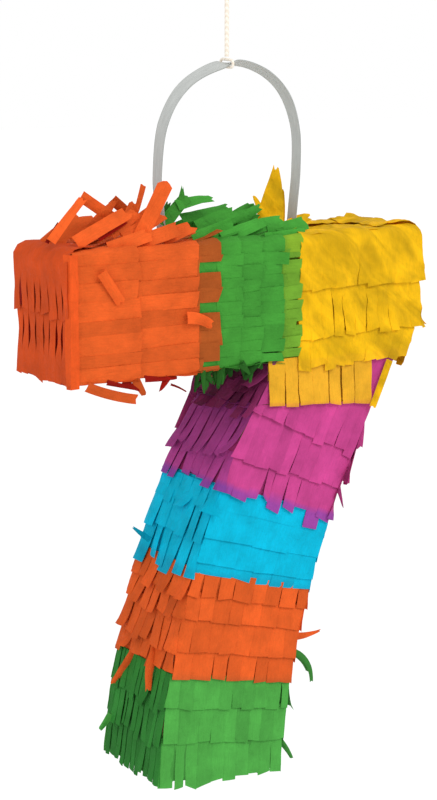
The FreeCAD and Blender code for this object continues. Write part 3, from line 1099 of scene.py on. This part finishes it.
def neck_paper(sheets, rng):
    """The first magenta row goes on up the left side, in two ragged layers below the bar, painted
    dark for the shade under it.
    """
    look = Look(width=(6.0, 11.0), over=(4.0, 14.0), lift=(2.5, 6.0), tone=(-0.25, 0.2), mess=0.3,
                lean=3.0, curl=4.0, gap=(-0.3, 0.9))
    for z0, z1 in ((UNDER, UNDER - 16), (UNDER - 16, UNDER - 33)):
        x0, x1 = [where(stem_left, lambda p, z=z: p.y - z).x for z in (z0, z1)]

        def corners(v, x0=x0, x1=x1, z0=z0, z1=z1):
            x, z = x0 + (x1 - x0) * v, z0 + (z1 - z0) * v
            return [Vector((x, BACK + 1, z)), Vector((x, FRONT - 1, z))]

        wrap = Wrap(corners, False)
        backing(sheets, wrap, 0.0, wrap.total, tone=0.0)
        cut_side(sheets, wrap, 0, look, rng)
    # the corner of the front that the collar leaves bare, painted darker up towards the bar for the
    # shade under it
    grid = []
    for k in range(7):
        z = UNDER - 5.0 * k
        x = where(stem_left, lambda p, z=z: p.y - z).x
        grid.append([(Vector((x + (COLLAR_START + 3 - x) * j / 4, FRONT - 1.0, z)),
                      Vector((0, -1, 0))) for j in range(5)])
    sheets.add(grid, PAPER, lambda t: 0.6 * t, size=(30.0, 15.0))


def stem_rows():
    over_blue, over_orange = linear(150, 74, 172), linear(30, 140, 175)
    # the green foot's second colour only shows on its left sides, as painted shade
    over_green, foot_shade_green = linear(172, 90, 44), linear(10, 118, 42)
    colours = {
        "magenta": (MAGENTA, over_blue, "magenta_paper"),
        "blue": (BLUE, over_orange, "blue_paper"),
        "orange_stem": (ORANGE, over_green, "orange_paper"),
        "green_foot": (FOOT_GREEN, foot_shade_green, "green_paper"),
    }
    front = {
        "magenta": Look(width=(8.0, 12.0), over=(3.0, 6.0), lift=(2.2, 3.0), tone=(0.54, 0.82),
                        mess=0.03, loose=0.15, lean=0.8),
        "blue": Look(width=(28.0, 46.0), over=(0.5, 1.5), lift=(1.3, 1.6), tone=(0.66, 0.7),
                     lean=0.2, crown=0.1),
        "orange_stem": Look(width=(10.0, 17.0), over=(2.0, 3.5), tone=(0.56, 0.8), loose=0.15),
        "green_foot": Look(width=(9.0, 12.5), over=(2.5, 4.5), tone=(0.56, 0.84), loose=0.12,
                           lean=0.6),
    }
    # painted shade: the second layers under the hems are darker, as shade under the layer above
    hems = {
        "magenta": Look(width=(8.0, 13.0), over=(1.0, 15.0), lift=(2.2, 3.2), tone=(0.58, 0.74),
                        mess=0.06, loose=0.3, lean=1.5, cut=1.2),
        "blue": Look(width=(13.0, 19.0), over=(-5.0, -4.2), lift=(2.0, 2.3), tone=(0.64, 0.7),
                     lean=0.2, crown=0.15,
                     under=Look(width=(11.0, 17.0), over=(2.5, 5.0), lift=(1.2, 1.4),
                                tone=(0.56, 0.66), cut=0.7)),
        "green_foot": Look(width=(9.0, 12.5), over=(3.0, 7.0), tone=(0.56, 0.84), short=0.05,
                           loose=0.2, lean=0.6, cut=1.0,
                           under=Look(width=(8.0, 12.0), over=(-1.0, 5.0), lift=(1.0, 1.6),
                                      tone=(0.34, 0.46))),
    }
    # painted shade: the stem's left sides are darker than its front, and some take in the colour
    # below, for the shade under the bar
    left = {
        "magenta": Look(width=(7.0, 11.0), over=(3.0, 13.0), lift=(2.5, 6.0), tone=(0.36, 0.6),
                        mess=0.25, lean=3.0, curl=4.0, gap=(-0.3, 0.9), shade_and_below=0.4),
        "blue": Look(width=(9.0, 15.0), over=(3.0, 9.0), lift=(2.0, 3.6), tone=(0.58, 0.74),
                     mess=0.08, lean=1.5, gap=(-0.5, 0.6), crown=0.8),
        "orange_stem": Look(width=(8.0, 12.0), over=(3.0, 9.0), lift=(2.5, 4.6), tone=(0.46, 0.76),
                            lean=2.0, curl=2.0, gap=(-0.4, 0.6), crown=0.8),
        "green_foot": Look(width=(5.0, 8.0), over=(5.0, 11.0), lift=(2.2, 4.0), tone=(0.3, 0.6),
                           mess=0.06, lean=1.2, gap=(-0.4, 0.6), crown=0.8, shade_and_below=0.5),
    }
    # painted shade: the last rows' left sides are darker too
    left_hems = {
        "magenta": Look(width=(8.0, 13.0), over=(-5.0, 8.0), lift=(2.2, 4.0), tone=(0.5, 0.68),
                        mess=0.05, lean=2.0, gap=(-0.4, 0.8), shade_and_below=0.35),
        "blue": Look(width=(9.0, 14.0), over=(2.0, 18.0), lift=(2.2, 4.0), tone=(0.58, 0.72),
                     mess=0.06, lean=2.0, gap=(-0.3, 1.2), crown=0.8),
        "orange_stem": Look(width=(8.0, 12.0), over=(-3.0, 4.0), lift=(2.2, 4.0), tone=(0.5, 0.7),
                            mess=0.05, lean=1.5, gap=(-0.4, 0.5), crown=0.8),
        "green_foot": Look(width=(5.0, 8.0), over=(0.0, 4.0), lift=(1.6, 2.6), tone=(0.24, 0.5),
                           mess=0.04, lean=0.8, gap=(-0.4, 0.4), crown=0.8, shade_and_below=0.5),
    }
    right = {
        "magenta": Look(width=(7.0, 10.0), over=(5.0, 14.0), lift=(2.5, 5.0), tone=(0.5, 0.7),
                        mess=0.15, lean=1.5),
        "blue": Look(width=(8.0, 12.0), over=(2.0, 5.0), tone=(0.56, 0.7)),
        "orange_stem": Look(width=(8.0, 12.0), over=(2.0, 7.0), lift=(2.2, 4.0), tone=(0.56, 0.72),
                            mess=0.1),
        "green_foot": Look(width=(7.0, 11.0), over=(3.0, 7.0), lift=(2.2, 3.6), tone=(0.5, 0.7),
                           mess=0.06),
    }
    # the shallow blue rows look like one sheet, so the second one starts higher up, over the first
    own = {
        "blue_row_1": {"less": 2.0, "puff": 0.5},
        "blue_row_2": {"begin": -0.9, "base": 1.2, "puff": 0.5},
        "blue_row_3": {"puff": 0.5, "through": 0.35},
        "magenta_row_1": {"more": neck_paper},
        "magenta_row_3": {"through": 0.8},
        "orange_stem_row_4": {"through": 0.45},
    }
    upper = [tuple(where(edge, lambda p, z=z: p.y - z))
             for edge, z in zip((stem_left, stem_right), COLLAR_LOW)]
    for key, depths in ROW_DEPTHS.items():
        colour, below, slot = colours[key]
        material = paper(key + "_crepe", colour, below)
        for n, depth in enumerate(depths, 1):
            name = f"{key}_row_{n}"
            lower = stem_row_ends(depth)
            last = n == len(depths)
            face = hems.get(key, front[key]) if last else front[key]
            side = left_hems.get(key, left[key]) if last else left[key]
            fringe(name, drop_wrap(upper, lower, True), [face, right[key], face, side], material,
                   slot, **own.get(name, {}))
            upper = lower


collar_row()
stem_rows()


# ---- loose strips ----------------------------------------------------------------------------

TOWARDS = Vector((-0.45, -0.85, 0.25))      # the way that most loose strips face


def loose_strip(sheets, line, width, tone, taper, rng, shade_and_below=0.0):
    """A strip that has come away, along a line of points and headings. taper is its tip's share of
    the width."""
    length = sum((b[0] - a[0]).length for a, b in zip(line, line[1:]))
    twist, lean = rng.uniform(-0.5, 0.5), rng.uniform(-0.35, 0.35)
    columns = (-1.0, -0.5, 0.0, 0.5, 1.0)
    ragged = [rng.uniform(-1.0, 1.0) * min(2.5, 0.22 * width) for _ in columns]
    grid = []
    for i, (p, way) in enumerate(line):
        t = i / (len(line) - 1)
        across = way.cross(TOWARDS).normalized()
        across = Matrix.Rotation(lean + twist * t, 3, way) @ across
        out = across.cross(way).normalized()
        half = width / 2 * (1 + (taper - 1) * t ** 1.5)
        row = []
        for x, tip in zip(columns, ragged):
            q = p + across * (half * x) + way * (tip * t ** 6)
            bow = 0.5 * (1 - x * x) + 0.09 * width * noise.noise(q / 7.0)
            row.append((q + out * bow, out))
        grid.append(row)
    sheets.add(grid, PAPER, tone, lambda t: shade_and_below, (rng.uniform(0, 90), rng.uniform(0, 90)),
               (length, width))


def tuft_line(root, heading, length, bend, rng):
    """A line from a root. heading turns from right to up, in degrees, and bend is how much more it
    turns by the tip."""
    steps = max(4, round(length / 3))
    p, drift, line = Vector(root), rng.uniform(-0.1, 0.1), []
    for i in range(steps + 1):
        angle = math.radians(heading + bend * i / steps)
        way = Vector((math.cos(angle), drift, math.sin(angle))).normalized()
        line.append((p.copy(), way))
        p += way * (length / steps)
    return line


# by colour: root, heading, length, bend, width, tone, taper; the lowest tones are painted
# shade, for strips under the bar and in hollows
TUFTS = {
    "orange": [
        ((-141, -12, -193), 51, 34, -4, 6.5, 0.92, 0.9),
        ((-119.5, -12.5, -165.5), -33, 28, 0, 7.5, 0.66, 1.0),
        ((-126, 8, -197), 52, 32, -62, 10, 0.56, 0.9),
        ((-117, 0, -195), 36, 25, 0, 5, 0.46, 1.0),
        ((-99, 6, -187), 48, 21, 0, 9, 0.56, 0.3),
        ((-86, 6, -170.5), -38, 16, 0, 7, 0.46, 1.0),
        ((-129, -22, -194), 24, 44, -3, 9.5, 0.8, 1.0),
        ((-101, -16, -190), 30, 24, 0, 9, 0.68, 0.9),
        ((-84, -4, -194), 66, 24, 4, 10, 0.72, 0.9),
        ((-71, 0, -178), 68, 17, 3, 3.5, 0.6, 1.1),
        ((-87, -24, -198.5), 60, 45, 4, 9.5, 0.76, 1.05),
        ((-93, -20, -193), 23, 31, 3, 9, 0.7, 1.0),
        ((-88, -28, -196), 15, 30, 0, 10, 0.64, 1.0),
        ((-68, -27, -195), 22, 24, -10, 10, 0.74, 0.9),
        ((-110, -30, -198), 14, 30, 0, 9, 0.72, 1.0),
        ((-132, 14, -198), 36, 30, -8, 9, 0.6, 1.0),
        ((-108, 22, -198), 28, 34, -6, 9, 0.66, 1.0),
        ((-92, 29, -199), 20, 26, 0, 9, 0.7, 1.0),
        ((-74, 15, -197), 40, 28, -10, 9, 0.66, 0.9),
        ((-121, -40.5, -211), -55, 25, 0, 6.5, 0.84, 1.0),
        ((-58, -40.5, -245), -4, 20, -36, 8, 0.8, 0.8),
        ((-131, -37, -283), -25, 38, 14, 6.5, 0.46, 1.0),
        ((-95, -36, -282), -60, 12, 0, 6, 0.3, 0.6),
        ((32, -24, -485), -20, 36, 28, 7, 0.66, 0.2),
        ((34, -20, -478), -32, 14, 0, 5, 0.5, 0.5),
    ],
    # painted shadow: dark red strips in the shadowed holes between strips and under the bar
    "red": [
        ((-143, -10, -194), 57, 15, -6, 2.5, 0.1, 0.5),
        ((-112, -20, -192), 24, 24, 0, 5, 0.5, 0.8),
        ((-116, -36, -282), -17, 27, 0, 3.5, 0.3, 0.5),
        ((-104, -35, -283), -28, 14, 0, 5, 0.25, 0.4),
        ((-88, -36, -282), -7, 25, 4, 6, 0.3, 0.5),
        ((-70, -36, -283), -122, 11, 0, 5, 0.5, 0.3),
        ((-67, -34, -289), -22, 13, -14, 1.6, 0.1, 0.6),
    ],
    "green": [
        ((-53, -4, -189), 50, 25, -10, 9, 0.58, 0.9),
        ((-43, -5, -176), 14, 28, -16, 8, 0.7, 0.7),
        ((-39, -4, -176), 84, 12, 0, 6, 0.5, 0.15),
        ((-52, 4, -190), 62, 17, 0, 6, 0.05, 0.5),
        ((-34, 4, -186), 8, 37, 4, 8, 0.5, 0.8),
        ((-28, -6, -191), 24, 30, -14, 9, 0.66, 0.8),
        ((-14, -10, -190), 22, 24, -14, 9, 0.72, 0.7),
        ((-42, -22, -197), 12, 34, 4, 10, 0.72, 1.0),
        ((-20, -24, -197), 12, 34, 4, 10, 0.78, 0.9),
        ((7, -2, -191), 34, 22, -14, 9, 0.7, 0.5),
        ((0, 6, -193), 32, 28, -6, 9, 0.6, 0.6),
        ((2, -19, -194), 16, 28, -14, 10, 0.82, 0.9),
        ((18, -23, -196), 8, 30, 4, 10, 0.78, 1.0),
        ((10, -31, -199), 3, 34, 0, 8, 0.8, 1.0),
        ((-44, 16, -198), 18, 30, 0, 9, 0.6, 1.0),
        ((-24, 23, -199), 13, 32, 0, 9, 0.66, 0.9),
        ((-4, 17, -198), 20, 30, -6, 9, 0.7, 0.8),
        ((12, 27, -199), 10, 30, 0, 9, 0.64, 1.0),
    ],
    "foot": [
        ((-80, 28, -537), -128, 13, -10, 5, 0.6, 0.7),
        ((32, -33, -494), -20, 36, -75, 5, 0.2, 0.5),
        ((33, -33, -495), -28, 26, -44, 4.5, 0.3, 0.5),
        ((21, -33, -557), -45, 24, -20, 5, 0.3, 0.5),
    ],
    "yellow": [
        ((37, 2, -192), 76, 38, 6, 19, 0.72, 0.2),
        ((46, 3, -192), 84, 21, 4, 8, 0.5, 0.4),
        ((35, 1, -192), 126, 23, 0, 8, 0.6, 0.4),
        ((50, -3, -196), 36, 18, -30, 10, 0.76, 0.7),
        ((114, -38.5, -291), -118, 36, 0, 5, 0.68, 0.9),
    ],
    "magenta": [
        ((92, -34, -321), -89, 33, 0, 8, 0.5, 0.9),
        ((79, -34, -345), -89, 32, 0, 8, 0.56, 0.9),
        ((69, -34, -366), -73, 30, 0, 5, 0.2, 0.15),
        ((61, -34, -386), -86, 18, 0, 5, 0.3, 0.2),
        ((16, 31, -283), -158, 42, 66, 7, 0.0, 0.7),
        ((14, 22, -283), -150, 34, 56, 6, -0.2, 0.6),
        ((-3, 34, -308), -122, 34, -4, 5, 0.2, 0.5),
    ],
    "blue": [
        ((-51, 20, -411), 140, 17, 0, 4.5, 0.2, 0.4),
    ],
}

# two tongues that hang off the stem's left side: width, tone, taper, then the points
TONGUES = [
    (6.5, 0.62, 0.6, [(-64, 10, -478), (-73, 15, -494), (-78, 28, -514)]),
    (7.5, 0.64, 0.5, [(-63, -12, -474), (-73, -15, -488), (-76, -17, -505)]),
]


def shaded_tips(sheets, rng):
    """The short ragged ends of green paper under the bar, painted dark for the shade there."""
    for k in range(24):
        root = (-46 + 2.1 * k + rng.uniform(-1, 1), rng.uniform(-37, -26), UNDER + 1)
        line = tuft_line(root, rng.uniform(-135, -45), rng.uniform(8, 18), 0, rng)
        loose_strip(sheets, line, rng.uniform(3.5, 7), rng.uniform(-0.35, 0.1), 0.4, rng)


def loose_strips():
    finishes = {
        "orange": ("orange_crepe", "orange_paper"), "red": ("orange_end_crepe", "orange_paper"),
        "green": ("green_crepe", "green_paper"), "foot": ("green_foot_crepe", "green_paper"),
        "yellow": ("yellow_crepe", "yellow_paper"), "magenta": ("magenta_crepe", "magenta_paper"),
        "blue": ("blue_crepe", "blue_paper"),
    }
    for key, tufts in TUFTS.items():
        sheets, rng = Sheets(), random.Random(key + " loose")
        for root, heading, length, bend, width, tone, taper in tufts:
            line = tuft_line(root, heading, length, bend, rng)
            # the red strips are all deep red, a painted shade colour
            loose_strip(sheets, line, width, tone, taper, rng, 1.0 if key == "red" else 0.0)
        if key == "orange":
            for width, tone, taper, points in TONGUES:
                loose_strip(sheets, along_points(points, 15), width, tone, taper, rng)
        elif key == "green":
            shaded_tips(sheets, rng)
        elif key == "magenta":
            notch(sheets)
        material, slot = finishes[key]
        sheets.piece(key + "_loose_strips", bpy.data.materials[material], slot, "shell")


def notch(sheets):
    """Magenta paper that shows where the collar falls short of the right edge."""
    grid = []
    for z in (UNDER + 1, UNDER - 12, UNDER - 26, UNDER - 38):
        edge = right_edge(z) + 1.0
        grid.append([(Vector((edge - 20 + 5 * k, FRONT - 1.1, z)), Vector((0, -1, 0)))
                     for k in range(5)])
    sheets.add(grid, PAPER, 0.6, size=(38.0, 20.0))


loose_strips()


# ---- card, tape and staples ------------------------------------------------------------------

def finish_card():
    card, tape, wire = card_material(), tape_material(), wire_material()
    strap = bpy.data.materials["strap_plastic"]
    finishes = {
        card: ["front_panel", "back_panel", "fill_flap", "top_wall", "arm_end_wall",
               "arm_under_wall", "right_end_wall", "stem_left_wall", "stem_right_wall",
               "foot_wall"],
        tape: ["front_seam_tape", "back_seam_tape"],
        strap: ["strap_end_tabs"],
        wire: ["strap_staples"],
    }
    for material, nodes in finishes.items():
        for name in nodes:
            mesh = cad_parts[name].data
            if mesh.materials:
                for k in range(len(mesh.materials)):
                    mesh.materials[k] = material
            else:
                mesh.materials.append(material)


finish_card()


# ---- floor and light -------------------------------------------------------------------------

FLOOR = -1700.0


def add_stage():
    mesh = bpy.data.meshes.new("floor")
    reach = 30.0
    mesh.from_pydata([(-reach, -reach, FLOOR * MM), (reach, -reach, FLOOR * MM),
                      (reach, reach, FLOOR * MM), (-reach, reach, FLOOR * MM)], [], [(0, 1, 2, 3)])
    floor = bpy.data.objects.new("floor", mesh)
    SCENE.collection.objects.link(floor)
    s = Shader("pale_floor")
    s.surface.inputs["Base Color"].default_value = (0.95, 0.95, 0.95, 1.0)
    s.surface.inputs["Roughness"].default_value = 0.9
    s.surface.inputs["Specular IOR Level"].default_value = 0.0
    mesh.materials.append(s.material)


def add_sun(name, towards, strength, softness):
    data = bpy.data.lights.new(name, "SUN")
    data.energy = strength
    data.angle = math.radians(softness)
    sun = bpy.data.objects.new(name, data)
    SCENE.collection.objects.link(sun)
    sun.rotation_euler = Vector(towards).to_track_quat("-Z", "Y").to_euler()


def add_light():
    world = bpy.data.worlds.new("studio")
    SCENE.world = world
    world.use_nodes = True
    tree = world.node_tree
    plain = tree.nodes["Background"]
    plain.inputs["Color"].default_value = (1.0, 1.0, 1.0, 1.0)
    plain.inputs["Strength"].default_value = 0.82
    seen = tree.nodes.new("ShaderNodeBackground")
    seen.inputs["Color"].default_value = (1.0, 1.0, 1.0, 1.0)
    seen.inputs["Strength"].default_value = 1.0
    path = tree.nodes.new("ShaderNodeLightPath")
    mix = tree.nodes.new("ShaderNodeMixShader")
    tree.links.new(path.outputs["Is Camera Ray"], mix.inputs[0])
    tree.links.new(plain.outputs[0], mix.inputs[1])
    tree.links.new(seen.outputs[0], mix.inputs[2])
    tree.links.new(mix.outputs[0], tree.nodes["World Output"].inputs["Surface"])
    add_sun("key", (-0.25, 1.0, -0.95), 1.2, 28.0)
    add_sun("fill", (1.0, 0.35, -0.25), 0.6, 60.0)


add_stage()
add_light()
SCENE.view_settings.view_transform = "Standard"
